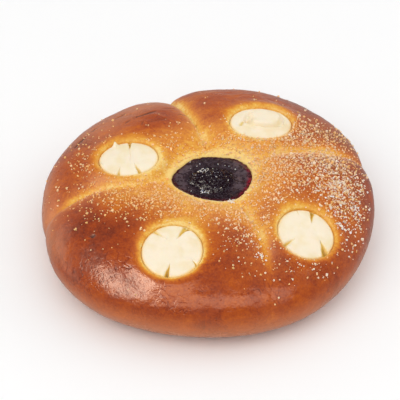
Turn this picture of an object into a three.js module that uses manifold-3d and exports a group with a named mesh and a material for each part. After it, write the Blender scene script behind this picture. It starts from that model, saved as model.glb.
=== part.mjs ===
// Filled sweet bun: a round yeast bun pressed into four lobes, with a curd filling in each lobe, a jam filling
// in the middle and a few clumps of coarse sugar stuck on top.
// Millimetres, +Z up. The origin is the middle of the base, on the surface that the bun stands on.
import * as THREE from "three";
import { mergeVertices } from "three/addons/utils/BufferGeometryUtils.js";
import Module from "manifold-3d";

const wasm = await Module();
wasm.setup();

// ---- driving dimensions ----
const RADIUS = 65.8; // mean radius of the bun at its widest
const CROWN_HEIGHT = 35; // height of the dough's crown before the middle sinks
const EQUATOR_HEIGHT = 13; // height at which the bun is widest
const CROWN_FULLNESS = 2.5; // how far the crown stays level before it falls to the side
const SHOULDER_FULLNESS = 2.3; // how square the shoulder is
const BASE_SHARE = 0.8; // radius of the flat base as a share of the radius at the widest
const OUTLINE_CENTRE = { x: 0.35, y: -0.7 };
// The plan isn't a true circle: each wave adds its share of the radius this many times round.
const OUTLINE_WAVES = [
  { count: 2, share: 0.0227, phase: 89.6 },
  { count: 3, share: 0.0123, phase: -167.8 },
  { count: 4, share: 0.0104, phase: -157.6 },
  { count: 5, share: 0.0072, phase: 30.5 },
];

// The middle sinks where the lobes meet.
const HUB = { x: 1.65, y: -0.2 };
const BASIN_DEPTH = 7.5;
const BASIN_REACH = 22;

// The creases run out from the hub. Heading is in degrees at the hub, bend in degrees for each millimetre outwards.
// Between fadeFrom and fadeTo the crease dies down to rimShare of its depth.
const CREASES = [
  { heading: 92, bend: 0.275, fadeFrom: 70, fadeTo: 80, rimShare: 1, valley: 3.6 },
  { heading: 35.5, bend: -0.296, fadeFrom: 48, fadeTo: 66, rimShare: 0.35, valley: 3 },
  { heading: 178, bend: 0.25, fadeFrom: 48, fadeTo: 66, rimShare: 0.25, valley: 3 },
  { heading: -51, bend: -0.25, fadeFrom: 45, fadeTo: 60, rimShare: 0.12, valley: 3 },
];
const CREASE_START = 6; // distance from the hub at which a crease begins
const CREASE_RUN_IN = 8;
const VALLEY_REACH = 16; // half the width of the dip between two lobes
const FOLD_DEPTH = 1.8; // the narrow fold at the bottom of the dip
const FOLD_REACH = 2.2;

// Each filling sits in a pit pressed into the dough, square to the surface there.
const GAP = 0.3; // clearance between a filling and its pit
const PIT_TAPER = 0.82; // floor radius as a share of the rim's
const CURD_PIT_DEPTH = 9;
const CURD_SINK = 0.6; // how far the filling's edge lies below the rim
const CURD_DOME = 1.1;
const CURD_PITS = {
  curd_front_left: { at: [-13.6, -42.3, 30.2], normal: [-0.06, -0.23, 0.971], radius: 11.5, waves: [] },
  curd_front_right: { at: [36.7, -31.9, 29], normal: [0.25, -0.195, 0.948], radius: 11.25, waves: [] },
  curd_back_left: {
    at: [-31.1, 7.2, 31.9],
    normal: [-0.046, 0.019, 0.999],
    radius: 10.85,
    waves: [{ count: 2, share: 0.06, phase: 15 }],
  },
  curd_back_right: {
    at: [21, 28.8, 31.8],
    normal: [0.056, 0.058, 0.997],
    radius: 11.1,
    waves: [{ count: 2, share: 0.12, phase: 0 }],
  },
};
const JAM_PIT = {
  at: [1.9, -1.2, 28.6],
  normal: [0, 0, 1],
  radius: 14.4,
  waves: [
    { count: 2, share: 0.05, phase: 0 },
    { count: 3, share: 0.027, phase: 180 },
  ],
};
const JAM_PIT_DEPTH = 7;
const JAM_SINK = 0.4;
const JAM_DOME = 0.9;

// Clumps of sugar crystals: place in plan, half length, half width and height, and the turn about the vertical.
// A clump on the jam rests on the jam's surface, and the others rest on the crust.
const SUGAR_CLUMPS = [
  { at: [-2.2, 3.6], size: [2.4, 1.5, 0.8], turn: 20, on: "jam" },
  { at: [-0.5, -8.2], size: [2.6, 1.3, 0.9], turn: -10, on: "jam" },
  { at: [8.6, -14.4], size: [1.3, 0.9, 0.8], turn: 30, on: "crust" },
  { at: [19.5, -44], size: [3, 1.3, 0.9], turn: -15, on: "crust" },
  { at: [56.4, -15.5], size: [1.8, 2.4, 0.8], turn: 10, on: "crust" },
  { at: [49, -26], size: [1.8, 1.3, 0.8], turn: 50, on: "crust" },
];
const CLUMP_ROUGHNESS = 0.12;
const CLUMP_GAP = 0.6; // clearance under a clump, which covers the crust's facets too

// ---- mesh fineness ----
const BUN_SEGMENTS = 80;
const CROWN_RINGS = 24;
const BELLY_RINGS = 6;
const PLUG_SEGMENTS = 28;
const DOME_RINGS = 4;

const radians = THREE.MathUtils.degToRad;
const smoothstep = THREE.MathUtils.smoothstep;

function waveFactor(waves, angle) {
  const share = (wave) => wave.share * Math.cos(wave.count * angle - radians(wave.phase));
  return 1 + waves.reduce((sum, wave) => sum + share(wave), 0);
}

const outlineRadius = (angle) => RADIUS * waveFactor(OUTLINE_WAVES, angle);

// How far one crease sinks the crust at a point seen in plan.
function creaseDepth(crease, x, y) {
  const reach = Math.hypot(x - HUB.x, y - HUB.y);
  const line = radians(crease.heading + crease.bend * reach);
  const off = Math.atan2(y - HUB.y, x - HUB.x) - line;
  if (Math.cos(off) < 0) return 0;
  const aside = Math.abs(reach * Math.sin(off));
  const valley = crease.valley * Math.max(0, 1 - aside / VALLEY_REACH) ** 2.2;
  const fold = FOLD_DEPTH * Math.exp(-((aside / FOLD_REACH) ** 1.4));
  const start = smoothstep(reach, CREASE_START, CREASE_START + CREASE_RUN_IN);
  const fade = 1 - (1 - crease.rimShare) * smoothstep(reach, crease.fadeFrom, crease.fadeTo);
  return start * fade * (valley + fold);
}

// How far the crust sinks at a point, through the creases and the hollow in the middle.
function sinkDepth(x, y) {
  const fromHub = Math.hypot(x - HUB.x, y - HUB.y);
  const basin = BASIN_DEPTH * Math.exp(-((fromHub / BASIN_REACH) ** 2));
  return basin + Math.max(...CREASES.map((crease) => creaseDepth(crease, x, y)));
}

// Height of the top crust over a point seen in plan.
function crustHeight(x, y) {
  const dx = x - OUTLINE_CENTRE.x;
  const dy = y - OUTLINE_CENTRE.y;
  const share = Math.min(1, Math.hypot(dx, dy) / outlineRadius(Math.atan2(dy, dx)));
  const crown = (1 - share ** CROWN_FULLNESS) ** (1 / SHOULDER_FULLNESS);
  return EQUATOR_HEIGHT + (CROWN_HEIGHT - EQUATOR_HEIGHT) * crown - sinkDepth(x, y);
}

// Half of the bun's upright section, from the base's middle up over the side to the crown, with a radius of 1.
function bunSection() {
  const points = [new THREE.Vector2(0, 0)];
  for (let i = 0; i <= BELLY_RINGS; i++) {
    const turn = (i / BELLY_RINGS) * (Math.PI / 2);
    const radius = BASE_SHARE + (1 - BASE_SHARE) * Math.sin(turn);
    points.push(new THREE.Vector2(radius, EQUATOR_HEIGHT * (1 - Math.cos(turn))));
  }
  for (let i = 1; i <= CROWN_RINGS; i++) {
    const turn = (1 - i / CROWN_RINGS) * (Math.PI / 2);
    const radius = Math.sin(turn) ** (2 / CROWN_FULLNESS);
    const rise = Math.cos(turn) ** (2 / SHOULDER_FULLNESS);
    points.push(new THREE.Vector2(radius, EQUATOR_HEIGHT + (CROWN_HEIGHT - EQUATOR_HEIGHT) * rise));
  }
  return points;
}

// A lathe shape turned to stand along +Z, with its vertices moved by a function.
function lathed(points, segments, move) {
  const geometry = new THREE.LatheGeometry(points, segments).rotateX(Math.PI / 2);
  const position = geometry.getAttribute("position");
  const point = new THREE.Vector3();
  for (let i = 0; i < position.count; i++) {
    point.fromBufferAttribute(position, i);
    move(point);
    position.setXYZ(i, point.x, point.y, point.z);
  }
  return geometry;
}

// The whole bun before its pits are pressed: the turned section, out to the plan's outline, then sunk inwards.
function bunBody() {
  return lathed(bunSection(), BUN_SEGMENTS, (point) => {
    const angle = Math.atan2(point.y, point.x);
    const radius = Math.hypot(point.x, point.y) * outlineRadius(angle);
    const x = OUTLINE_CENTRE.x + radius * Math.cos(angle);
    const y = OUTLINE_CENTRE.y + radius * Math.sin(angle);
    const rise = Math.max(0, (point.z - EQUATOR_HEIGHT) / (CROWN_HEIGHT - EQUATOR_HEIGHT));
    const upward = Math.min(1, rise ** (SHOULDER_FULLNESS / 2));
    const outward = Math.sqrt(1 - upward * upward);
    const depth = sinkDepth(x, y) * smoothstep(point.z, 0, EQUATOR_HEIGHT);
    point.x = x - depth * outward * Math.cos(angle);
    point.y = y - depth * outward * Math.sin(angle);
    point.z -= depth * upward;
  });
}

// A closed plug that stands along a pit's normal: from low to high at its edge, tapered, with a domed top.
function plug(pit, { clearance, low, high, dome, depth }) {
  const rim = pit.radius - clearance;
  const wallRadius = (height) => rim * (1 + ((1 - PIT_TAPER) * Math.min(0, height)) / depth);
  const points = [new THREE.Vector2(0, low), new THREE.Vector2(wallRadius(low), low)];
  if (high > 0) points.push(new THREE.Vector2(rim, 0));
  for (let i = 0; i <= DOME_RINGS; i++) {
    const turn = (i / DOME_RINGS) * (Math.PI / 2);
    const radius = i === DOME_RINGS ? 0 : wallRadius(high) * Math.cos(turn);
    points.push(new THREE.Vector2(radius, high + dome * Math.sin(turn)));
  }
  const tilt = new THREE.Quaternion().setFromUnitVectors(
    new THREE.Vector3(0, 0, 1),
    new THREE.Vector3(...pit.normal).normalize(),
  );
  const place = new THREE.Vector3(...pit.at);
  return lathed(points, PLUG_SEGMENTS, (point) => {
    const factor = waveFactor(pit.waves, Math.atan2(point.y, point.x));
    point.x *= factor;
    point.y *= factor;
    point.applyQuaternion(tilt).add(place);
  });
}

const PIT_MOUTH = 8; // how far a pit's cutter stands above the crust, to cut right through it
const pitCutter = (pit, depth) => plug(pit, { clearance: 0, low: -depth, high: PIT_MOUTH, dome: 0.5, depth });
const filling = (pit, depth, sink, dome) =>
  plug(pit, { clearance: GAP, low: GAP - depth, high: -sink, dome, depth });

// Height of what a clump lies on, over a point seen in plan.
const jamTop = JAM_PIT.at[2] - JAM_SINK + JAM_DOME;
const floorHeight = (clump, x, y) => (clump.on === "jam" ? jamTop : crustHeight(x, y));

// A lump of stuck crystals, tilted to lie along the surface under it and lifted just clear of it.
function sugarClump(clump) {
  const [length, width, height] = clump.size;
  const [x, y] = clump.at;
  const floor = floorHeight(clump, x, y);
  const slopeX = (floorHeight(clump, x + length, y) - floorHeight(clump, x - length, y)) / (2 * length);
  const slopeY = (floorHeight(clump, x, y + width) - floorHeight(clump, x, y - width)) / (2 * width);
  const normal = new THREE.Vector3(-slopeX, -slopeY, 1).normalize();
  const tilt = new THREE.Quaternion().setFromUnitVectors(new THREE.Vector3(0, 0, 1), normal);
  const geometry = new THREE.IcosahedronGeometry(1, 1);
  const position = geometry.getAttribute("position");
  const point = new THREE.Vector3();
  let clearance = Infinity;
  for (let i = 0; i < position.count; i++) {
    point.fromBufferAttribute(position, i);
    const facet = Math.sin(7 * point.x + 3) + Math.sin(9 * point.y + 1) + Math.sin(8 * point.z);
    point.multiplyScalar(1 + CLUMP_ROUGHNESS * facet);
    point.multiply(new THREE.Vector3(length, width, height));
    point.applyAxisAngle(new THREE.Vector3(0, 0, 1), radians(clump.turn));
    point.applyQuaternion(tilt).add(new THREE.Vector3(x, y, floor));
    clearance = Math.min(clearance, point.z - floorHeight(clump, point.x, point.y));
    position.setXYZ(i, point.x, point.y, point.z);
  }
  return geometry.translate(0, 0, CLUMP_GAP - clearance);
}

function solidOf(geometry) {
  const bare = geometry.clone();
  bare.deleteAttribute("normal");
  bare.deleteAttribute("uv");
  const merged = mergeVertices(bare, 1e-3);
  return new wasm.Manifold(
    new wasm.Mesh({
      numProp: 3,
      vertProperties: merged.getAttribute("position").array,
      triVerts: new Uint32Array(merged.index.array),
    }),
  );
}

function geometryOf(solid) {
  const made = solid.getMesh();
  const geometry = new THREE.BufferGeometry();
  geometry.setAttribute("position", new THREE.BufferAttribute(made.vertProperties, 3));
  geometry.setIndex(new THREE.BufferAttribute(made.triVerts, 1));
  geometry.computeVertexNormals();
  return geometry;
}

const crust = new THREE.MeshStandardMaterial({ color: 0xa8602c, roughness: 0.35, metalness: 0 });
const curd = new THREE.MeshStandardMaterial({ color: 0xfbecce, roughness: 0.45, metalness: 0 });
const jam = new THREE.MeshStandardMaterial({ color: 0x261420, roughness: 0.2, metalness: 0 });
const sugar = new THREE.MeshStandardMaterial({ color: 0xfff8f0, roughness: 0.25, metalness: 0 });

const bun = new THREE.Group();

function addPiece(name, geometry, material) {
  const mesh = new THREE.Mesh(geometry, material);
  mesh.name = name;
  bun.add(mesh);
  return mesh;
}

function bakedDough() {
  let solid = solidOf(bunBody());
  for (const pit of Object.values(CURD_PITS)) {
    solid = solid.subtract(solidOf(pitCutter(pit, CURD_PIT_DEPTH)));
  }
  return geometryOf(solid.subtract(solidOf(pitCutter(JAM_PIT, JAM_PIT_DEPTH))));
}

addPiece("baked_dough", bakedDough(), crust);
for (const [name, pit] of Object.entries(CURD_PITS)) {
  addPiece(name, filling(pit, CURD_PIT_DEPTH, CURD_SINK, CURD_DOME), curd);
}
addPiece("jam_filling", filling(JAM_PIT, JAM_PIT_DEPTH, JAM_SINK, JAM_DOME), jam);

SUGAR_CLUMPS.forEach((clump, i) => addPiece(`sugar_clump_${i + 1}`, sugarClump(clump), sugar));

export default bun;
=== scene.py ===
import math

import bmesh
import bpy
import numpy as np
from mathutils import Matrix, Vector, noise
from mathutils.bvhtree import BVHTree


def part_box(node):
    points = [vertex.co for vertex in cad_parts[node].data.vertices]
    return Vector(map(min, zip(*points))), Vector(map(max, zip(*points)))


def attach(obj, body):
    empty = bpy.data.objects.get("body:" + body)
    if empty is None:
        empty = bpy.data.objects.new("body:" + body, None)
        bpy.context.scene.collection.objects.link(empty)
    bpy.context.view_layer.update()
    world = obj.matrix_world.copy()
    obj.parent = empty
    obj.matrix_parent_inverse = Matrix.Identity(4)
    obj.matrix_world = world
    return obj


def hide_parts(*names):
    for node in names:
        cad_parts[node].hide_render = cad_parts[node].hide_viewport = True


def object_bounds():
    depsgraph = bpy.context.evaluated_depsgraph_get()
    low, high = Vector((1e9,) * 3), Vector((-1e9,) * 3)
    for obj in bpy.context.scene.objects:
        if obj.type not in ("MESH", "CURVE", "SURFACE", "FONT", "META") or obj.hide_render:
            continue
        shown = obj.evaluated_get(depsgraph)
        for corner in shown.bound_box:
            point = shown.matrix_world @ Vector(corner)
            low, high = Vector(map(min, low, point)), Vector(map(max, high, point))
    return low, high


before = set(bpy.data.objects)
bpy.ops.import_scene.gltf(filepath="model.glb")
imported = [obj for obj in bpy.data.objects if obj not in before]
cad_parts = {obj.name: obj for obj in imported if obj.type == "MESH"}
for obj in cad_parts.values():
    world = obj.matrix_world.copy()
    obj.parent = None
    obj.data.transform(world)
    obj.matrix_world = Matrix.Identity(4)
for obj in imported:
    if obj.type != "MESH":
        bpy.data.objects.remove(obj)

cad_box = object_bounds()
MM = 0.001


# ---- camera ----

CAMERA_LENS = 160
CAMERA_DISTANCE = 700
CAMERA_ELEVATION = math.radians(42.5)
CAMERA_TARGET = Vector((-3.245, 2.728, 14))


def set_camera():
    data = bpy.data.cameras.new("camera")
    data.lens = CAMERA_LENS
    data.clip_start = 0.01
    camera = bpy.data.objects.new("camera", data)
    bpy.context.scene.collection.objects.link(camera)
    away = Vector((0, -math.cos(CAMERA_ELEVATION), math.sin(CAMERA_ELEVATION)))
    camera.location = (CAMERA_TARGET + away * CAMERA_DISTANCE) * MM
    camera.rotation_euler = (math.pi / 2 - CAMERA_ELEVATION, 0, 0)
    bpy.context.scene.camera = camera


set_camera()


# ---- the bun's form ----

# The form is the frame's own, apart from the course of two creases, the outlines of the pits and the swells.
RADIUS = 65.8
CROWN_HEIGHT = 35
EQUATOR_HEIGHT = 13
CROWN_FULLNESS = 2.5
SHOULDER_FULLNESS = 2.3
BASE_SHARE = 0.8
OUTLINE_CENTRE = (0.35, -0.7)
# Each wave is its count round the bun, its share of the radius and its phase in degrees.
OUTLINE_WAVES = ((2, 0.0227, 89.6), (3, 0.0123, -167.8), (4, 0.0104, -157.6), (5, 0.0072, 30.5))
HUB = (1.65, -0.2)
BASIN_DEPTH = 7.5
BASIN_REACH = 22
CREASE_START = 6
CREASE_RUN_IN = 8
VALLEY_REACH = 16
VALLEY_SHARPNESS = 2.2
FOLD_DEPTH = 1.8
FOLD_REACH = 2.2
STEEP_FOLD_REACH = 1.3
FOLD_SHARPNESS = 1.4
# A crease's heading at the hub and its bend for each millimetre are in degrees. It dies down between the two
# fade distances to its rim share. The steep side is +1 for its left as seen from the hub. Its pale band has
# a place beside the line and a reach. A sway shifts the line to its left: by how much, at what distance from
# the hub, and over what spread.
CREASES = (
    dict(heading=92, bend=0.275, fade=(70, 80), rim_share=1, valley=3.6, steep_side=1, pale=(0.3, 3.8)),
    dict(heading=35.5, bend=-0.296, fade=(48, 66), rim_share=0.35, valley=3, steep_side=-1, pale=(0, 4)),
    dict(
        heading=178,
        bend=0.25,
        fade=(48, 66),
        rim_share=0.25,
        valley=3,
        steep_side=1,
        pale=(0.2, 2.8),
        sways=((3.2, 31, 9), (-1.3, 50, 7)),
    ),
    dict(heading=-49, bend=-0.33, fade=(36, 60), rim_share=0.1, valley=3, steep_side=1, pale=(-0.4, 3)),
)

PIT_TAPER = 0.82
CURD = dict(depth=9, sink=0.6, dome=1.1)
JAM = dict(depth=7, sink=0.4, dome=0.9)
FILLING_GAP = 0.3
BACK_LEFT_WAVES = ((1, 0.03, 90), (2, 0.07, 15))
BACK_RIGHT_WAVES = ((1, 0.04, 90), (2, 0.1, 0))
JAM_WAVES = ((1, 0.075, 58), (2, 0.09, -6), (3, 0.04, 159), (4, 0.022, 86), (5, 0.018, 175), (6, 0.012, 0))
# The frame gives each pit's place. Here are its form, its normal and its radius, which the frame has too,
# how much wider it shows than in the frame, and the waves of its outline.
PIT_FORMS = {
    "curd_front_left": (CURD, (-0.06, -0.23, 0.971), 11.5, 1.025, ()),
    "curd_front_right": (CURD, (0.25, -0.195, 0.948), 11.25, 1.015, ()),
    "curd_back_left": (CURD, (-0.046, 0.019, 0.999), 10.85, 1.03, BACK_LEFT_WAVES),
    "curd_back_right": (CURD, (0.056, 0.058, 0.997), 11.1, 1.04, BACK_RIGHT_WAVES),
    "jam_filling": (JAM, (0, 0, 1), 14.4, 0.985, JAM_WAVES),
}


def smoothstep(value, low, high):
    share = np.clip((value - low) / (high - low), 0, 1)
    return share * share * (3 - 2 * share)


def bell(distance, reach):
    return np.exp(-((distance / reach) ** 2))


def patch_share(x, y, middle, spread):
    """1 in the middle of an oval patch seen in plan, dying away outwards."""
    return bell(np.hypot((x - middle[0]) / spread[0], (y - middle[1]) / spread[1]), 1)


def wave_factor(waves, angle):
    swings = [share * np.cos(count * angle - math.radians(phase)) for count, share, phase in waves]
    return sum(swings, np.ones_like(angle, dtype=float))


def outline_radius(angle):
    return RADIUS * wave_factor(OUTLINE_WAVES, angle)


def crease_aside(crease, x, y):
    """How far a point lies to the left of a crease's line, and how strong the crease is there."""
    reach = np.hypot(x - HUB[0], y - HUB[1])
    line = np.radians(crease["heading"] + crease["bend"] * reach)
    off = np.arctan2(y - HUB[1], x - HUB[0]) - line
    sway = sum(amount * bell(reach - middle, spread) for amount, middle, spread in crease.get("sways", ()))
    aside = np.where(np.cos(off) < 0, RADIUS, reach * np.sin(off) - sway)
    start = smoothstep(reach, CREASE_START, CREASE_START + CREASE_RUN_IN)
    fade = 1 - (1 - crease["rim_share"]) * smoothstep(reach, *crease["fade"])
    return aside, start * fade


def sink_depth(x, y):
    """How far the creases and the hollow in the middle sink the crust at a point seen in plan."""
    basin = BASIN_DEPTH * bell(np.hypot(x - HUB[0], y - HUB[1]), BASIN_REACH)
    deepest = np.zeros_like(basin)
    for crease in CREASES:
        aside, strength = crease_aside(crease, x, y)
        valley = crease["valley"] * np.maximum(0, 1 - np.abs(aside) / VALLEY_REACH) ** VALLEY_SHARPNESS
        fold_reach = np.where(aside * crease["steep_side"] > 0, STEEP_FOLD_REACH, FOLD_REACH)
        fold = FOLD_DEPTH * np.exp(-((np.abs(aside) / fold_reach) ** FOLD_SHARPNESS))
        deepest = np.maximum(deepest, strength * (valley + fold))
    return basin + deepest


class Pit:
    """A pit pressed into the crust: the middle of its rim, its own axes and its outline."""

    def __init__(self, node):
        form, normal, self.radius, widened, self.waves = PIT_FORMS[node]
        self.depth = form["depth"]
        self.normal = np.array(Vector(normal).normalized())
        upright = Vector((0, 0, 1))
        self.turn = np.array(upright.rotation_difference(Vector(self.normal)).to_matrix())
        low, high = (np.array(corner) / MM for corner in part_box(node))
        sine = math.sqrt(1 - self.normal[2] ** 2)
        above_edge = math.hypot(form["dome"] * self.normal[2], (self.radius - FILLING_GAP) * sine)
        self.centre = (low + high) / 2 + self.normal * form["sink"]
        self.centre[2] = high[2] + form["sink"] * self.normal[2] - above_edge
        self.radius *= widened

    def local(self, places):
        """Places along the pit's own axes: two across it, and its normal."""
        return (places - self.centre) @ self.turn

    def world(self, places):
        return places @ self.turn.T + self.centre

    def rim_radius(self, angle):
        return self.radius * wave_factor(self.waves, angle)


PITS = {node: Pit(node) for node in PIT_FORMS}


# ---- finishes ----


class Link:
    """A node's output that can stand in a sum. Each sum adds its Math nodes to the finish."""

    def __init__(self, finish, socket):
        self.finish, self.socket = finish, socket

    def maths(self, operation, *values):
        return self.finish.node("Math", {"operation": operation}, dict(enumerate(values)))

    def __add__(self, other):
        return self.maths("ADD", self, other)

    __radd__ = __add__

    def __sub__(self, other):
        return self.maths("SUBTRACT", self, other)

    def __rsub__(self, other):
        return self.maths("SUBTRACT", other, self)

    def __mul__(self, other):
        return self.maths("MULTIPLY", self, other)

    __rmul__ = __mul__

    def size(self):
        return self.maths("ABSOLUTE", self)

    def clipped(self):
        return self.maths("MINIMUM", self.maths("MAXIMUM", self, 0.0), 1.0)

    def above(self, low, high):
        """0 up to low, 1 from high, and a smooth rise between."""
        settings = {"interpolation_type": "SMOOTHSTEP"}
        return self.finish.node("MapRange", settings, {"Value": self, "From Min": low, "From Max": high})


class Finish:
    """One procedural material."""

    def __init__(self, name):
        self.material = bpy.data.materials.new(name)
        self.material.use_nodes = True
        self.tree = self.material.node_tree
        self.tree.nodes.clear()
        self.place = self.node("TexCoord", output="Object")

    def node(self, kind, settings=(), sockets=(), output=0):
        """Adds a node: its settings first, then each socket's value or link. Returns one output."""
        made = self.tree.nodes.new("ShaderNode" + kind)
        for name, value in dict(settings).items():
            if name == "stops":
                self.set_stops(made.color_ramp, value)
            else:
                setattr(made, name, value)
        for name, value in dict(sockets).items():
            if isinstance(value, Link):
                self.tree.links.new(value.socket, made.inputs[name])
            else:
                made.inputs[name].default_value = value
        return Link(self, made.outputs[output]) if made.outputs else made

    def set_stops(self, ramp, stops):
        while len(ramp.elements) < len(stops):
            ramp.elements.new(0.5)
        for element, (position, colour) in zip(ramp.elements, stops):
            element.position = position
            element.color = (*colour, 1)

    def attribute(self, name):
        return self.node("Attribute", {"attribute_name": name}, output="Fac")

    def noise(self, size, detail=2, distortion=0.0, stretch=(1, 1, 1)):
        """Noise whose swells are about size millimetres across, stretched along the axes."""
        place = self.node("Mapping", {}, {"Vector": self.place, "Scale": tuple(1 / s for s in stretch)})
        values = {"Vector": place, "Scale": 1 / (size * MM), "Detail": detail, "Distortion": distortion}
        return self.node("TexNoise", {}, values)

    def cells(self, size, feature="F1", warp=0.0):
        """Cells about size millimetres across, their walls bent by up to warp millimetres."""
        drift = self.node("TexNoise", {}, {"Vector": self.place, "Scale": 1 / (size * MM)}, output="Color")
        bent = {0: drift, 1: (warp * MM,) * 3, 2: self.place}
        place = self.node("VectorMath", {"operation": "MULTIPLY_ADD"}, bent)
        return self.node("TexVoronoi", {"feature": feature}, {"Vector": place, "Scale": 1 / (size * MM)})

    def ramp(self, value, stops):
        return self.node("ValToRGB", {"stops": stops}, {"Fac": value})

    def blend(self, share, first, second):
        """A colour that goes from the first to the second as share goes from 0 to 1."""
        colours = {0: share, 6: self.colour(first), 7: self.colour(second)}
        return self.node("Mix", {"data_type": "RGBA"}, colours, output=2)

    def colour(self, value):
        return value if isinstance(value, Link) else (*value, 1)

    def bump(self, height, depth):
        """A normal roughened by a height between 0 and 1, over a depth in millimetres."""
        return self.node("Bump", {}, {"Height": height, "Distance": depth * MM, "Strength": 1.0})

    def surface(self, **sockets):
        """The material's shader. Socket names are written with underscores."""
        named = {name.replace("_", " "): value for name, value in sockets.items()}
        shader = self.node("BsdfPrincipled", {}, named)
        self.node("OutputMaterial", {}, {"Surface": shader})
        return self.material


def tone(red, green, blue):
    """A colour from its screen values, 0 to 255."""
    shares = [value / 255 for value in (red, green, blue)]
    return tuple(((share + 0.055) / 1.055) ** 2.4 if share > 0.04 else share / 12.92 for share in shares)


# How the dough colours as it bakes, from the folds to the outer shoulders.
CRUST_TONES = (
    (0.0, tone(243, 208, 122)),
    (0.14, tone(234, 172, 52)),
    (0.30, tone(220, 134, 4)),
    (0.46, tone(202, 106, 2)),
    (0.62, tone(182, 80, 2)),
    (0.80, tone(156, 58, 4)),
    (1.0, tone(116, 36, 6)),
)
# Painted shade inside the crust's splits.
SLIT_SHADE_TONE = tone(64, 20, 10)
SUGAR_DUST_TONE = tone(240, 180, 92)
# Pale pinkish tone of the crust's sides. Low down it is partly a paler band where the bun rose from its tray
# and partly painted reflection of the floor. Up the left wall and on the back's shoulders it is painted
# haze.
SIDE_AND_HAZE_TONE = tone(214, 138, 92)
FLOUR_SHEEN_TONE = (1.0, 0.93, 0.92)


def crust_finish():
    look = Finish("egg_washed_crust")
    blotches = look.noise(10, detail=4)
    freckles = look.noise(1.6, detail=4)
    specks = look.noise(0.7, detail=2)
    streaks = look.noise(2.5, detail=3, stretch=(3, 1, 1))
    mottle = (blotches - 0.5) * 0.5 + (freckles - 0.5) * 0.3
    mottle = mottle + (specks - 0.5) * 0.34 + (streaks - 0.5) * 0.2
    pores = 1 - look.cells(5, warp=2).above(0.035, 0.065)
    swirls = look.noise(7, detail=2, distortion=1.6)
    wrinkled = look.noise(14, detail=1).above(0.46, 0.6)
    wrinkle_line = (1 - (swirls - 0.5).size().above(0.0, 0.04)) * wrinkled
    # Wrinkle lines darken the colour as well as the relief: painted shade in their grooves.
    baked = look.ramp(look.attribute("bake") + mottle + wrinkle_line * 0.12 + pores * 0.3, CRUST_TONES)
    # The side mark paints haze, the bright surroundings reflected on the walls, over a truly paler band low
    # down.
    sided_and_hazed = look.blend(look.attribute("side") * 0.75, baked, SIDE_AND_HAZE_TONE)
    # Painted shade darkens the splits.
    slit_shaded = look.blend(look.attribute("crack"), sided_and_hazed, SLIT_SHADE_TONE)
    dust = look.noise(0.5, detail=1).above(0.5, 0.62) * look.attribute("sugar")
    colour = look.blend(dust * 0.5, slit_shaded, SUGAR_DUST_TONE)
    crinkle = look.cells(1.8, "DISTANCE_TO_EDGE", warp=1.2).above(0.0, 0.25)
    grain = look.noise(0.9, detail=3)
    dimples = look.noise(4.5, detail=2)
    relief = crinkle * 0.6 + grain * 0.45 + dimples * 0.8 - wrinkle_line * 0.9 - pores * 2
    roughness = 0.26 + (blotches - 0.5) * 0.2 + (1 - look.attribute("shine")) * 0.4
    return look.surface(
        Base_Color=colour,
        Roughness=roughness,
        Normal=look.bump(relief, 0.04),
        Specular_IOR_Level=0.5,
        Sheen_Weight=0.34,
        Sheen_Roughness=0.44,
        Sheen_Tint=(*FLOUR_SHEEN_TONE, 1),
    )


CURD_TONE = tone(246, 232, 206)
CURD_SHADE_TONE = tone(241, 224, 186)
CURD_RIM_TONE = tone(244, 214, 140)
# Colours in the curd's cracks: the amber of browned curd, deepening to painted shade where they are deepest.
CURD_CRACK_TINT_AND_SHADE_TONES = ((0.0, tone(240, 222, 150)), (0.5, tone(222, 178, 66)), (1.0, tone(150, 100, 30)))


def curd_finish():
    look = Finish("baked_curd")
    patches = look.noise(6, detail=3)
    grain = look.noise(0.9, detail=3)
    smooth = look.blend(patches.above(0.4, 0.7), CURD_TONE, CURD_SHADE_TONE)
    rimmed = look.blend(look.attribute("rim") * 0.8, smooth, CURD_RIM_TONE)
    split = look.attribute("crack")
    colour = look.blend(split.above(0.05, 0.35), rimmed, look.ramp(split, CURD_CRACK_TINT_AND_SHADE_TONES))
    return look.surface(
        Base_Color=colour,
        Roughness=0.42 + (grain - 0.5) * 0.2,
        Normal=look.bump(grain * 0.5 + patches * 0.5, 0.08),
        Subsurface_Weight=0.15,
        Subsurface_Radius=(1.0, 0.7, 0.4),
        Subsurface_Scale=0.0015,
    )


JAM_TONE = tone(30, 14, 22)
# Grey specks on the jam's mound are painted glints.
JAM_GLINT_SPECK_TONE = tone(96, 92, 100)
# Greyish purple of the jam's outer satin skin: a painted sheen, the bright surroundings reflected in it.
JAM_PAINTED_SHEEN_TONE = tone(92, 74, 80)
JAM_THIN_TONE = tone(140, 8, 38)
JAM_EDGE_TONE = tone(68, 16, 24)


def jam_finish():
    look = Finish("berry_jam")
    lumps = look.noise(1.4, detail=3, distortion=0.6)
    skin = look.noise(1.8, detail=4, distortion=0.5)
    # Painted glints: grey specks over the mound, where there is no satin skin.
    specks = look.noise(0.5, detail=2).above(0.54, 0.64) * (1 - look.attribute("satin"))
    # The satin mark makes the skin rougher, and its colour is a painted sheen.
    satin = look.attribute("satin") * (0.3 + skin.above(0.38, 0.62) * 0.7)
    sheened = look.blend(satin, JAM_TONE, JAM_PAINTED_SHEEN_TONE)
    glint_specked = look.blend(specks * 0.5, sheened, JAM_GLINT_SPECK_TONE)
    edged = look.blend(look.attribute("edge"), glint_specked, JAM_EDGE_TONE)
    colour = look.blend(look.attribute("thin") * lumps.above(0.4, 0.6), edged, JAM_THIN_TONE)
    return look.surface(
        Base_Color=colour,
        Roughness=0.16 + satin * 0.24,
        Normal=look.bump(lumps, 0.5),
        Specular_IOR_Level=0.6,
        Specular_Tint=(0.8, 0.88, 1.0, 1),
    )


SUGAR_CLEAR_TONE = tone(248, 186, 112)
SUGAR_WHITE_TONE = tone(255, 246, 238)


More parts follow.
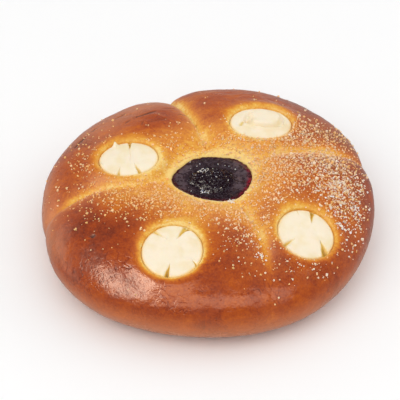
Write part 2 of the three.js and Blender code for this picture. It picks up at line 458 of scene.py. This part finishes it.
def sugar_finish():
    look = Finish("coarse_sugar")
    frost = look.noise(0.5, detail=2)
    frosted = (look.attribute("white") + (frost - 0.5) * 0.3).clipped()
    colour = look.blend(frosted, SUGAR_CLEAR_TONE, SUGAR_WHITE_TONE)
    return look.surface(
        Base_Color=colour,
        Roughness=0.25 + frost * 0.2,
        Normal=look.bump(frost, 0.03),
        Subsurface_Weight=0.7,
        Subsurface_Radius=(1.0, 0.8, 0.6),
        Subsurface_Scale=0.0006,
    )


# ---- making a piece ----


WEDGE_DOUBLINGS = 4


def spun(section, steps):
    """A closed surface: the section's radii and heights, turned about Z as a wedge that is doubled."""
    bm = bmesh.new()
    points = [bm.verts.new((radius, 0, height)) for radius, height in section]
    line = [bm.edges.new(pair) for pair in zip(points, points[1:])]
    wedge = math.tau / 2**WEDGE_DOUBLINGS
    wedge_steps = steps // 2**WEDGE_DOUBLINGS
    turn = dict(cent=(0, 0, 0), axis=(0, 0, 1), dvec=(0, 0, 0), angle=wedge, steps=wedge_steps)
    bmesh.ops.spin(bm, geom=points + line, **turn)
    for _ in range(WEDGE_DOUBLINGS):
        copied = bmesh.ops.duplicate(bm, geom=bm.verts[:] + bm.edges[:] + bm.faces[:])["geom"]
        copied_verts = [part for part in copied if isinstance(part, bmesh.types.BMVert)]
        bmesh.ops.rotate(bm, cent=(0, 0, 0), matrix=Matrix.Rotation(wedge, 3, "Z"), verts=copied_verts)
        wedge *= 2
    bmesh.ops.remove_doubles(bm, verts=bm.verts, dist=1e-3)
    bmesh.ops.recalc_face_normals(bm, faces=bm.faces)
    return bm


def places_of(bm):
    return np.array([vert.co for vert in bm.verts])


def move_to(bm, places):
    for vert, place in zip(bm.verts, places.tolist()):
        vert.co = place
    bm.normal_update()


def noise_at(places, wavelength, octaves=1, seed=0):
    """Smooth noise between about -1 and 1 at each place. Its swells are about a wavelength across."""
    moved = (places / wavelength + (17.3 * seed, 5.1 * seed, -8.7 * seed)).tolist()
    if octaves == 1:
        return np.array([noise.noise(place) for place in moved])
    return np.array([noise.fractal(place, 1.0, 2.0, octaves) for place in moved])


def piece(name, bm, finish, replaced=(), attributes=(), smooth=True):
    """Turns a bmesh in millimetres into a finished piece that rides on the bun's one body."""
    bmesh.ops.scale(bm, vec=(MM, MM, MM), verts=bm.verts)
    mesh = bpy.data.meshes.new(name)
    bm.to_mesh(mesh)
    bm.free()
    for label, values in dict(attributes).items():
        mesh.attributes.new(label, "FLOAT", "POINT").data.foreach_set("value", values.astype(np.float32))
    mesh.polygons.foreach_set("use_smooth", [smooth] * len(mesh.polygons))
    mesh.materials.append(finish)
    made = bpy.data.objects.new(name, mesh)
    bpy.context.scene.collection.objects.link(made)
    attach(made, "root")
    if replaced:
        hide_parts(*replaced)
    return made


# ---- the baked dough ----

DOUGH_STEPS = 512
RING_STEP = 0.6
BASE_RINGS = 6


def dough_section():
    """Half of the bun's upright section from base to top: shares of the outline's radius, and heights."""
    belly = np.linspace(0, math.pi / 2, 200)
    crown = np.linspace(math.pi / 2, 0, 2000)[1:]
    shares = np.append(BASE_SHARE + (1 - BASE_SHARE) * np.sin(belly), np.sin(crown) ** (2 / CROWN_FULLNESS))
    rise = np.cos(crown) ** (2 / SHOULDER_FULLNESS)
    crown_heights = EQUATOR_HEIGHT + (CROWN_HEIGHT - EQUATOR_HEIGHT) * rise
    heights = np.append(EQUATOR_HEIGHT * (1 - np.cos(belly)), crown_heights)
    steps = np.hypot(np.diff(shares) * RADIUS, np.diff(heights))
    walked = np.append(0, np.cumsum(steps))
    stops = np.linspace(0, walked[-1], round(walked[-1] / RING_STEP))
    base = [(BASE_SHARE * ring / BASE_RINGS, 0.0) for ring in range(BASE_RINGS)]
    return base + list(zip(np.interp(stops, walked, shares), np.interp(stops, walked, heights)))


# Each swell of the crust is its height, its wavelength, its octaves and its seed.
SWELLS = ((0.45, 20, 1, 0), (0.12, 6, 1, 1), (0.09, 2.4, 2, 2))
# Each patch of fine wrinkles is their height, wavelength, squeeze along X and seed, then its middle and
# spread.
WRINKLES = (
    (0.26, 2.4, 0.35, 3, (-27, 37), (22, 12)),
    (0.05, 2.2, 1, 8, (-18, -48), (34, 15)),
    (0.24, 3, 1, 11, (18, 50), (26, 12)),
)
# Each patch of curled furrows is their depth, then its middle and spread.
FURROWS = ((0.22, (22, -53), (18, 11)), (0.12, (-12, -57), (22, 9)))
FURROW_WAVELENGTH = 6
FURROW_WIDTH = 0.26  # as a share of the noise that they follow
CURL_WAVELENGTH = 8
CURL_REACH = 3.2


def raised(places):
    """Where each point of the turned section goes: out to the bun's outline and in with its creases."""
    x, y, z = places.T
    angle = np.arctan2(y, x)
    reach = np.hypot(x, y) * outline_radius(angle)
    x = OUTLINE_CENTRE[0] + reach * np.cos(angle)
    y = OUTLINE_CENTRE[1] + reach * np.sin(angle)
    rise = np.maximum(0, (z - EQUATOR_HEIGHT) / (CROWN_HEIGHT - EQUATOR_HEIGHT))
    upward = np.minimum(1, rise ** (SHOULDER_FULLNESS / 2))
    outward = np.sqrt(1 - upward**2)
    spots = np.stack([x, y, z], 1)
    depth = sink_depth(x, y)
    for height, wavelength, octaves, seed in SWELLS:
        depth = depth - height * noise_at(spots, wavelength, octaves, seed)
    for height, wavelength, squeeze, seed, middle, spread in WRINKLES:
        wrinkle = noise_at(spots * (squeeze, 1, 1), wavelength, 2, seed)
        depth = depth - height * wrinkle * patch_share(x, y, middle, spread)
    furrow = bell(noise_at(curled(spots), FURROW_WAVELENGTH, seed=9), FURROW_WIDTH)
    for height, middle, spread in FURROWS:
        depth = depth + height * furrow * patch_share(x, y, middle, spread)
    depth = depth * smoothstep(z, 0, EQUATOR_HEIGHT)
    inward = depth * outward
    return np.stack([x - inward * np.cos(angle), y - inward * np.sin(angle), z - depth * upward], 1)


def curled(spots):
    """The spots bent about, so that a pattern over them runs in swirls."""
    bend = [noise_at(spots, CURL_WAVELENGTH, seed=seed) for seed in (12, 13)]
    return spots + CURL_REACH * np.stack([*bend, np.zeros(len(spots))], 1)


LIP_REACH = 3.5  # how far from a pit the crust is drawn level with its rim
LIP_HEIGHT = 0.5
ROUNDING = 0.7
ROUNDING_REACH = 0.8
SNAP_REACH = 0.7


def pressed(places, pit):
    """Presses a pit: vertices near its rim are drawn to the rim, and those inside it go down its wall."""
    local = pit.local(places)
    angle = np.arctan2(local[:, 1], local[:, 0])
    rim = pit.rim_radius(angle)
    outside = np.hypot(local[:, 0], local[:, 1]) - rim
    near = (outside < 4 * LIP_REACH) & (local[:, 2] > -pit.depth) & (places[:, 2] > EQUATOR_HEIGHT)
    drawn = outside * np.clip(np.abs(outside) / SNAP_REACH, 0.3, 1)
    level = bell(np.maximum(drawn - 1, 0), LIP_REACH)
    rounding = ROUNDING * np.exp(-np.maximum(drawn, 0) / ROUNDING_REACH)
    height = local[:, 2] * (1 - level) + LIP_HEIGHT * level - rounding
    inward = np.clip(-drawn / ((1 - PIT_TAPER) * pit.radius), 0, 1)
    height = height * (1 - inward) - pit.depth * inward
    reach = rim + drawn
    moved = np.stack([reach * np.cos(angle), reach * np.sin(angle), height], 1)
    shown = np.where(near[:, None], pit.world(moved), places)
    return shown, np.where(near, drawn, RADIUS), np.where(near, np.sin(angle), 0)


# Above this height the crust is settled, so that it stays close to the frame's box.
SETTLED_ABOVE = cad_box[1][2] / MM - 0.4
SETTLING = 0.6
BAKE_AT_HUB = 0.2
BAKE_AT_SHOULDER = 0.62
BAKE_IN_CREASE = 0.05
# Patches of crust baked darker, or paler where the amount is negative: the amount, middle and spread.
BAKE_PATCHES = (
    (0.13, (-43, -31), (14, 12)),
    (0.14, (-15, 35), (22, 10)),
    (0.08, (40, 8), (14, 14)),
    (0.18, (-49, 21), (10, 10)),
    (0.09, (-30, -33), (9, 9)),
    # This paler patch is partly less-baked crust and partly painted haze, the surroundings reflected on the
    # lobe.
    (-0.2, (-36, -17), (16, 9)),
    (0.14, (-49, -24), (9, 9)),
)
# Round each pit lies a wide pale halo, and in it a narrow paler ring. Both reach farther on the far side.
HALO_REACH = 3.6
HALO_EXTRA_REACH = 1.8
HALO_PALENESS = 0.42
RING_REACH = 1.4
RING_EXTRA_REACH = 1.5
RING_PALENESS = {
    "curd_front_left": 0.34,
    "curd_front_right": 0.24,
    "curd_back_left": 0.2,
    "curd_back_right": 0.24,
    "jam_filling": 0.2,
}
# Small splits in the crust: each end in plan, the width and the depth. Their dark colour is painted shade.
SLITS = (
    ((-29, 33.6), (-20, 37.8), 1.0, 0.5),
    ((-12.5, 35.5), (-8, 36.8), 0.8, 0.3),
    ((-24, 29), (-15, 31.5), 0.7, 0.2),
    ((-19, 39.5), (-12, 41.5), 0.8, 0.25),
    ((-34, 29.5), (-30.5, 32), 0.7, 0.25),
    ((-9, 31), (-4, 31.5), 0.6, 0.2),
    ((-26.5, 27), (-26, 30), 0.7, 0.2),
    ((-51.5, 23), (-48.5, 27), 1.2, 0.5),
    ((-53, 20), (-51.8, 22.4), 1.0, 0.4),
    ((-47, 28.5), (-44.5, 32), 0.8, 0.3),
    ((-44.2, -33.1), (-42.4, -32.6), 1.5, 0.6),
    ((28.5, 41.2), (31.5, 43), 0.9, 0.4),
    ((-38, 35), (-33, 39), 0.8, 0.3),
)


def slit_share(places, start, end, width):
    """1 along a split's bottom and 0 past its edges."""
    start, end = np.array(start), np.array(end)
    along = end - start
    from_start = places[:, :2] - start
    share = np.clip(from_start @ along / (along @ along), 0, 1)
    off = np.hypot(*(from_start - share[:, None] * along).T)
    return np.clip(1.2 - off / (width / 2 * (1.1 - np.abs(2 * share - 1) ** 3)), 0, 1)


FULL_DUST_DENSITY = 14


def sugar_density(x, y):
    """How thickly the sugar zones strew each place."""
    shares = [
        count / (spread[0] * spread[1]) * patch_share(x, y, middle, (1.4 * spread[0], 1.4 * spread[1]))
        for middle, spread, count, _ in SUGAR_ZONES.values()
    ]
    return sum(shares)


def bake_share(x, y, plan):
    """How baked the crust is, before the creases and the pits pale it."""
    shoulder = smoothstep(plan, 12, 48 - 8 * smoothstep(y, -5, 15))
    bake = BAKE_AT_HUB + (BAKE_AT_SHOULDER - BAKE_AT_HUB) * shoulder
    bake = bake + 0.12 * smoothstep(-y, 2, 30) * smoothstep(plan, 20, 44)
    bake = bake + 0.2 * smoothstep(x + 0.5 * y, 42, 62)
    for amount, middle, spread in BAKE_PATCHES:
        bake = bake + amount * patch_share(x, y, middle, spread)
    return bake


def pale_side_and_haze_share(x, y, height, plan):
    """How much duller, paler colour the crust gets: low down, partly a paler band where the bun rose from
    its tray and partly painted reflection of the pale floor; up the left wall and on the back's shoulders,
    painted haze, the bright surroundings reflected at grazing angles.
    """
    low_down = 1 - smoothstep(height, 5, 20)
    left_wall_haze = smoothstep(-x - 0.2 * y, 51, 63) * smoothstep(y, -44, -24) * (1 - smoothstep(height, 18, 27))
    back = smoothstep(plan, 39, 52) * smoothstep(y, 8, 34) * smoothstep(np.abs(x - 5), 14, 30)
    back = back * (0.65 - 0.4 * smoothstep(x, 0, 20))
    return np.maximum(low_down, np.maximum(0.75 * left_wall_haze, back))


def dough_piece(finish):
    bm = spun(dough_section(), DOUGH_STEPS)
    places = raised(places_of(bm))
    x, y, z = places.T
    plan = np.hypot(x - HUB[0], y - HUB[1])
    on_crown = smoothstep(z, EQUATOR_HEIGHT - 3, EQUATOR_HEIGHT + 2)
    bake = bake_share(x, y, plan)
    shine = np.ones(len(places))
    crack = np.zeros(len(places))
    for crease in CREASES:
        aside, strength = crease_aside(crease, x, y)
        pale_aside, pale_reach = crease["pale"]
        from_band = aside - pale_aside
        band = 0.45 * bell(from_band, 1.5 * pale_reach) + 0.55 * bell(from_band, 0.6 * pale_reach)
        pale = strength * band * on_crown
        bake = bake * (1 - pale) + BAKE_IN_CREASE * pale
        shine = shine * (1 - 0.8 * strength * bell(aside, 8))
    for start, end, width, depth in SLITS:
        inside = slit_share(places, start, end, width) * on_crown
        places = places - np.array([0, 0, 1]) * (depth * inside)[:, None]
        # The crack mark is painted shade: the deeper the split, the darker.
        crack = np.maximum(crack, inside * min(1, 2 * depth))
    for node, pit in PITS.items():
        places, outside, behind = pressed(places, pit)
        outside = np.maximum(outside, 0)
        halo = bell(outside, HALO_REACH + HALO_EXTRA_REACH * behind)
        ring = bell(outside, RING_REACH + RING_EXTRA_REACH * np.maximum(behind, 0))
        bake = bake * (1 - HALO_PALENESS * halo) - RING_PALENESS[node] * ring
        shine = shine * (1 - 0.6 * ring)
    places[:, 2] -= SETTLING * np.maximum(0, places[:, 2] - SETTLED_ABOVE)
    shine = shine * smoothstep(plan, 24, 36) * (1 - crack)
    move_to(bm, places)
    tree = BVHTree.FromBMesh(bm)
    attributes = {
        "bake": np.clip(bake, 0, 1),
        "shine": shine,
        "crack": crack,
        "side": pale_side_and_haze_share(x, y, places[:, 2], plan),
        "sugar": np.clip(sugar_density(x, y) / FULL_DUST_DENSITY, 0, 1) * on_crown,
    }
    return piece("bun_dough", bm, finish, ["baked_dough"], attributes), tree


# ---- the fillings ----

FILLING_STEPS = 224
FILLING_RING_STEP = 0.32
EDGE_ROUNDING = 0.7


def filling_section(pit, edge_height):
    """Half of a filling's section, as radii and heights, from the middle of its foot to that of its top."""
    rim = pit.radius - FILLING_GAP
    foot = FILLING_GAP - pit.depth
    floor = rim * (1 + (1 - PIT_TAPER) * foot / pit.depth)
    wall_height = edge_height - EDGE_ROUNDING - foot
    walls = [(0, foot), (floor / 2, foot), (floor, foot)]
    walls += [(floor + (rim - floor) * share, foot + wall_height * share) for share in (0.4, 0.7, 0.85)]
    turns = np.linspace(0, math.pi / 2, 6)
    edge = [
        (rim - EDGE_ROUNDING * (1 - math.cos(turn)), edge_height - EDGE_ROUNDING * (1 - math.sin(turn)))
        for turn in turns
    ]
    inner = rim - EDGE_ROUNDING
    rings = round(inner / FILLING_RING_STEP)
    return walls + edge + [(inner * (1 - ring / rings), edge_height) for ring in range(1, rings + 1)]


# A crack runs in from the rim. Each end is a bearing in degrees and a share of the rim's radius. Then come
# its width at the rim, its depth and how dark it is: partly the amber of browned curd in the split, partly
# painted shade.
CRACKS = {
    "curd_front_left": (
        ((128, 1.02), (108, 0.42), 2.5, 0.8, 0.3),
        ((56, 1.0), (63, 0.72), 1.8, 1.0, 0.8),
        ((65, 0.78), (69, 0.42), 1.9, 0.9, 0.5),
        ((-38, 1.0), (-28, 0.68), 1.2, 0.8, 0.6),
        ((-101, 1.02), (-97, 0.5), 2.2, 1.6, 0.95),
        ((-176, 1.0), (-175, 0.82), 0.5, 0.3, 0.4),
    ),
    "curd_front_right": (
        ((77, 1.02), (68, 0.46), 2.5, 1.4, 0.75),
        ((-141, 1.02), (-145, 0.48), 2.3, 1.1, 0.5),
        ((-46, 1.02), (-20, 0.5), 4.2, 1.7, 0.75),
        ((109, 0.95), (109, 0.6), 0.5, 0.3, 0.3),
        ((-81, 1.0), (-80, 0.8), 0.5, 0.3, 0.3),
    ),
    "curd_back_left": (
        ((90, 1.05), (85, 0.55), 2.0, 1.3, 0.75),
        ((86, 0.5), (-70, 0.25), 0.8, 0.35, 0.12),
        ((-111, 1.02), (-122, 0.55), 2.2, 1.1, 0.45),
        ((-60, 1.02), (-55, 0.4), 2.4, 1.3, 0.55),
    ),
    "curd_back_right": (
        ((-133, 1.0), (-135, 0.8), 1.7, 0.6, 0.4),
        ((-51, 1.0), (-51, 0.78), 1.5, 0.6, 0.3),
        # This one lies in the spoon's dent: its darkening there is painted shade.
        ((-178, 0.56), (138, 0.42), 2.4, 0.5, 0.3),
    ),
}


def crack_share(local, rim, outer_end, inner_end, width):
    """How far into a crack each point lies: 1 along its bottom, less towards its inner end, 0 outside it."""
    start, end = (
        np.array([math.cos(math.radians(bearing)), math.sin(math.radians(bearing))]) * share * rim
        for bearing, share in (outer_end, inner_end)
    )
    along = end - start
    length = np.hypot(*along)
    from_start = local[:, :2] - start
    share = from_start @ along / length**2
    wander = 0.18 * noise_at(local, 1.6, seed=outer_end[0])
    aside = np.abs(from_start @ np.array([-along[1], along[0]]) / length + wander)
    half_width = width / 2 * np.clip(1 - share, 0, 1) ** 0.7 + 1e-6
    inside = np.clip(1.15 - aside / half_width, 0, 1) * (share < 1) * (share > -0.5)
    return inside * np.clip(1.25 - share, 0, 1)


CURD_EDGE = -0.7
CURD_BULGE = 1.1


def curd_piece(node, name, finish):
    pit = PITS[node]
    bm = spun(filling_section(pit, CURD_EDGE), FILLING_STEPS)
    local = places_of(bm)
    on_top = smoothstep(local[:, 2], CURD_EDGE - EDGE_ROUNDING, CURD_EDGE)
    share = np.hypot(local[:, 0], local[:, 1]) / (pit.radius - FILLING_GAP)
    lift = CURD_BULGE * (1 - share**2.5) + curd_relief(node, local)
    lift = lift + 0.16 * noise_at(local, 5, 2, seed=4) + 0.04 * noise_at(local, 1.4, seed=5)
    crack = np.zeros(len(local))
    for start, end, width, depth, darkness in CRACKS[node]:
        inside = crack_share(local, pit.radius, start, end, width)
        lift = lift - depth * inside
        # Darker with depth: partly browned curd, partly painted shade.
        crack = np.maximum(crack, inside * darkness)
    factor = wave_factor(pit.waves, np.arctan2(local[:, 1], local[:, 0]))
    local = local * np.stack([factor, factor, np.ones_like(factor)], 1)
    local[:, 2] += lift * on_top
    move_to(bm, pit.world(local))
    attributes = {"crack": crack * on_top, "rim": smoothstep(share, 0.9, 1.0)}
    return piece(name, bm, finish, [node], attributes)


def curd_relief(node, local):
    """What the spoon left on each filling's top."""
    x, y = local[:, 0], local[:, 1]
    if node == "curd_front_left":
        step = smoothstep(x + 0.35 * np.sin(y), 2.0, 4.4)
        step = step * smoothstep(y, -5.5, -2.5) * (1 - smoothstep(y, 3, 6))
        return -0.6 * step * (1 - smoothstep(x, 8.5, 10.5))
    if node == "curd_back_right":
        dent = -2.0 * bell(np.hypot((x + 4.6) / 1.2, y - 1.2), 1.3)
        round_share = np.hypot((x - 1.4) / 6.2, (y - 2.8) / 5.6)
        disc = 1.3 * (1 - smoothstep(round_share, 0.84, 1.0))
        moat = -1.0 * bell(round_share - 1.1, 0.11)
        ridge = 0.7 * bell(round_share - 1.38, 0.14) * smoothstep(-y, -1, 2)
        return dent + disc + moat + ridge
    if node == "curd_front_right":
        return -0.4 * bell(np.hypot(x - 4.3, y - 0.4), 1.6)
    peak = 2.2 * bell(np.hypot((x + 5.6) / 0.8, (y - 8.8) / 1.4), 1.0)
    bead = 1.0 * bell(np.hypot(x + 10.2, y + 3.2), 1.0)
    return peak + bead - 0.35 * bell(x - 0.5, 1.1) * (1 - smoothstep(np.abs(y), 3, 7))


JAM_EDGE = -0.2
JAM_MOUND = (-0.5, -0.6)
JAM_MOUND_RADIUS = 7.8


def jam_piece(finish):
    pit = PITS["jam_filling"]
    bm = spun(filling_section(pit, JAM_EDGE), FILLING_STEPS)
    local = places_of(bm)
    angle = np.arctan2(local[:, 1], local[:, 0])
    share = np.hypot(local[:, 0], local[:, 1]) / (pit.radius - FILLING_GAP)
    from_mound = np.hypot(local[:, 0] - JAM_MOUND[0], local[:, 1] - JAM_MOUND[1])
    mound = 1 - smoothstep(from_mound, 5, JAM_MOUND_RADIUS)
    mound = mound - 0.4 * bell(from_mound - JAM_MOUND_RADIUS - 0.6, 1)
    rough = 0.6 * noise_at(local, 2.6, 3, seed=6) + 0.3 * noise_at(local, 1.1, 2, seed=10)
    lumps = rough * (1 - 0.5 * smoothstep(from_mound, 6, 9))
    on_top = smoothstep(local[:, 2], JAM_EDGE - EDGE_ROUNDING, JAM_EDGE)
    factor = wave_factor(pit.waves, angle)
    ragged = 1.015 + 0.03 * noise_at(np.stack([np.cos(angle), np.sin(angle), 0 * angle], 1), 0.16, 3, seed=7)
    local = local * np.stack([factor * ragged, factor * ragged, np.ones_like(factor)], 1)
    local[:, 2] += (mound + lumps) * on_top
    move_to(bm, pit.world(local))
    thin = smoothstep(share, 0.84, 0.96) * bell(angle + 0.15, 0.7)
    edge = smoothstep(share, 0.88, 0.98)
    # The outer annulus is a satin skin, rougher than the middle; its greyish colour is painted sheen.
    satin = smoothstep(from_mound, 7.5, 9) * (0.5 + 0.5 * smoothstep(np.abs(local[:, 0]), 6, 10))
    satin = satin * (0.3 + 0.7 * smoothstep(local[:, 1], -9, -4))
    attributes = {"thin": thin, "edge": edge, "satin": satin}
    return piece("berry_jam", bm, finish, ["jam_filling"], attributes)


# ---- the sugar ----

# Each zone of strewn sugar: its middle in plan, how far it spreads each way, its number of grains and the
# whiteness of its whitest ones.
SUGAR_ZONES = {
    "right_flank": ((51, -9), (5.5, 12), 950, 1.0),
    "right_lobe": ((36, 5), (12, 12), 1500, 0.65),
    "right_inner": ((23, 1), (7, 9), 480, 0.3),
    "right_back": ((44, 22), (10, 8), 720, 0.5),
    "front_crease": ((16, -30), (7, 11), 460, 0.6),
    "front_left_lobe": ((-12, -18), (16, 7), 950, 0.25),
    "back_right_lobe": ((20, 17), (13, 4.5), 620, 0.3),
    "left": ((-47, 8), (8, 12), 170, 0.3),
    "middle_left": ((-30, -9), (12, 8), 330, 0.3),
    "back_left_lobe": ((-14, 13), (9, 7), 170, 0.25),
    "under_right_curd": ((36, -46), (9, 4), 90, 0.7),
    "everywhere": ((6, -4), (30, 26), 300, 0.35),
}


def grow_crystal(bm, place, normal, size, rng):
    """One blocky crystal that lies on the surface at a place."""
    turn = Vector(rng.normal(size=3)).to_track_quat("Z", "Y").to_matrix().to_4x4()
    stretch = Matrix.Diagonal((*(size * rng.uniform(0.65, 1.25, 3)), 1))
    middle = Matrix.Translation(Vector(place) + Vector(normal) * size * 0.3)
    made = bmesh.ops.create_cube(bm, size=1, matrix=middle @ turn @ stretch)["verts"]
    for vert, shift in zip(made, rng.uniform(-0.16, 0.16, (len(made), 3)) * size):
        vert.co += Vector(shift)


def crystals_piece(name, spots, finish, seed, replaced=()):
    """Crystals at spots, each a place, a normal, a size and how white it is."""
    rng = np.random.default_rng(seed)
    bm = bmesh.new()
    white = []
    for place, normal, size, whiteness in spots:
        grow_crystal(bm, place, normal, size, rng)
        white += [whiteness] * 8
    return piece(name, bm, finish, replaced, {"white": np.array(white)}, smooth=False)


def surface_at(trees, x, y):
    """The highest surface point over a place in plan, with its normal."""
    hits = [tree.ray_cast(Vector((x, y, CROWN_HEIGHT * 2)), Vector((0, 0, -1))) for tree in trees]
    found = [(hit[0].z, hit[0], hit[1]) for hit in hits if hit[0] is not None]
    return max(found, key=lambda hit: hit[0])[1:] if found else (None, None)


GRAIN_SIZE = 0.295
LARGEST_GRAIN = 0.8
STEEPEST_GRAINED = 0.35  # grains lie only where the crust's normal rises at least this much


def strewn(trees, middle, spread, count, whitest, rng):
    """Grains strewn round a middle on the crust, with none on the fillings."""
    for _ in range(count):
        x, y = rng.normal(middle, spread)
        size = min(LARGEST_GRAIN, GRAIN_SIZE * rng.lognormal(0.15, 0.38))
        whiteness = whitest * rng.uniform(0, 1)
        place, normal = surface_at(trees, x, y)
        if place is None or normal.z < STEEPEST_GRAINED or in_filling(np.array(place)):
            continue
        yield place, normal, size, whiteness


def in_filling(place):
    for pit in PITS.values():
        local = pit.local(place)
        rim = pit.rim_radius(math.atan2(local[1], local[0]))
        if math.hypot(local[0], local[1]) < rim + 0.4:
            return True
    return False


# The jam holds single crystals, each at a place from its middle, and smaller glints scattered in it.
JAM_GLINTS = 36
GLINT_SIZES = (0.12, 0.22)
JAM_CRYSTAL_SIZE = 0.32
ON_JAM_WHITENESS = 0.9
JAM_CRYSTALS = (
    (-8.7, 10), (-4.8, 8.8), (2.3, 8.8), (5, 8.2), (6.5, 7.6), (1.4, 0.6), (6.1, -1.1), (3.3, -5.7),
    (-8.2, -6.9), (6.5, -11.4), (9, 6), (-6, 7.5), (-3.5, 6.5), (-1.5, -7), (-4.5, -5),
)


def sugar_pieces(trees, finish):
    for seed, (zone, (middle, spread, count, whitest)) in enumerate(SUGAR_ZONES.items()):
        rng = np.random.default_rng(100 + seed)
        spots = list(strewn(trees, middle, spread, count, whitest, rng))
        crystals_piece("sugar_grains_" + zone, spots, finish, seed)
    centre = PITS["jam_filling"].centre
    rng = np.random.default_rng(99)
    placed = [(x, y, JAM_CRYSTAL_SIZE) for x, y in JAM_CRYSTALS]
    scattered = rng.normal((-1, 0), (4.2, 3.8), (JAM_GLINTS, 2))
    placed += [(x, y, rng.uniform(*GLINT_SIZES)) for x, y in scattered]
    on_jam = [
        (*surface_at(trees, centre[0] + x, centre[1] + y), size, ON_JAM_WHITENESS) for x, y, size in placed
    ]
    crystals_piece("sugar_grains_jam", on_jam, finish, 50)


CLUMPS = 6
CLUMPS_ON_JAM = (1, 2)
CRYSTALS_IN_CLUMP = 16
CLUMP_CRYSTAL_SIZES = (0.3, 0.65)


def clump_pieces(trees, finish):
    for number in range(1, CLUMPS + 1):
        node = f"sugar_clump_{number}"
        low, high = (np.array(corner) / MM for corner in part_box(node))
        rng = np.random.default_rng(200 + number)
        middle, half = (low + high) / 2, (high - low) / 2
        spots = []
        coarseness, dullest = (0.6, 0.9) if number in CLUMPS_ON_JAM else (1, 0.5)
        for _ in range(CRYSTALS_IN_CLUMP):
            x, y = middle[:2] + half[:2] * rng.uniform(-0.9, 0.9, 2)
            size = rng.uniform(*CLUMP_CRYSTAL_SIZES) * coarseness
            spots.append((*surface_at(trees, x, y), size, rng.uniform(dullest, 1)))
        crystals_piece(f"sugar_lump_{number}", spots, finish, 300 + number, [node])


def tree_of(made):
    """A search tree of a finished piece, in millimetres."""
    bm = bmesh.new()
    bm.from_mesh(made.data)
    bmesh.ops.scale(bm, vec=(1 / MM, 1 / MM, 1 / MM), verts=bm.verts)
    tree = BVHTree.FromBMesh(bm)
    bm.free()
    return tree


dough, dough_tree = dough_piece(crust_finish())
curd = curd_finish()
for position in ("front_left", "front_right", "back_left", "back_right"):
    curd_piece("curd_" + position, position + "_curd", curd)
jam = jam_piece(jam_finish())
sugar = sugar_finish()
trees = [dough_tree, tree_of(jam)]
sugar_pieces(trees, sugar)
clump_pieces(trees, sugar)


# ---- floor and light ----

FLOOR_SIZE = 6000
FLOOR_TONES = ((0.93, 0.93, 0.93), (0.95, 0.95, 0.95))


def floor_finish():
    look = Finish("pale_floor")
    return look.surface(Base_Color=look.blend(look.noise(400), *FLOOR_TONES), Roughness=0.6)


def set_floor():
    bm = bmesh.new()
    bmesh.ops.create_grid(bm, x_segments=1, y_segments=1, size=FLOOR_SIZE / 2 * MM)
    mesh = bpy.data.meshes.new("floor")
    bm.to_mesh(mesh)
    bm.free()
    mesh.materials.append(floor_finish())
    floor = bpy.data.objects.new("floor", mesh)
    bpy.context.scene.collection.objects.link(floor)
    floor.visible_glossy = False  # a pale floor mirrored in the crust would cloud its low sides


GLOSS_LIGHT_TONE = (1.0, 0.84, 0.65)


def set_softbox(name, direction, distance, size, power, long_axis=(1, 0, 0), mirrored=True, lighting=True):
    """An oblong soft light that faces the bun from a direction.

    A mirrored one shows in the gloss, and a lighting one lights the plain surfaces.
    """
    data = bpy.data.lights.new(name, "AREA")
    data.shape = "RECTANGLE"
    data.size, data.size_y = size[0] * MM, size[1] * MM
    data.energy = power
    if mirrored:
        data.color = GLOSS_LIGHT_TONE
    light = bpy.data.objects.new(name, data)
    bpy.context.scene.collection.objects.link(light)
    away = Vector(direction).normalized()
    across = away.cross(Vector(long_axis)).normalized()
    light.rotation_euler = Matrix((across.cross(away), across, away)).transposed().to_euler()
    light.location = away * distance * MM
    light.visible_glossy = mirrored
    light.visible_diffuse = lighting


def set_surroundings(brightness):
    world = bpy.data.worlds.new("surroundings")
    world.use_nodes = True
    background = world.node_tree.nodes["Background"]
    background.inputs["Color"].default_value = (1, 1, 1, 1)
    background.inputs["Strength"].default_value = brightness
    world.cycles_visibility.glossy = False
    bpy.context.scene.world = world


set_floor()
set_surroundings(0.8)
gloss_axis = (0.14, -0.87, -0.47)
set_softbox("gloss_softbox", (-0.63, -0.44, 0.64), 800, (620, 180), 5.9, gloss_axis, lighting=False)
set_softbox("front_gloss_softbox", (0.12, -0.75, 0.64), 900, (1200, 460), 5.0, lighting=False)
set_softbox("left_gloss_softbox", (-0.95, 0.2, 0.18), 1200, (1400, 450), 3.2, lighting=False)
set_softbox("back_right_gloss_softbox", (0.8, 0.6, 0.3), 1200, (900, 500), 0.2, lighting=False)
set_softbox("key_light", (-0.5, -0.4, 0.8), 1400, (1000, 1000), 3.8, mirrored=False)
set_softbox("overhead_fill", (0.1, 0.1, 1), 1500, (1800, 1800), 4.0, mirrored=False)
set_softbox("right_fill", (0.8, 0.1, 0.45), 1200, (900, 900), 1.8, mirrored=False)
bpy.context.scene.view_settings.view_transform = "Standard"
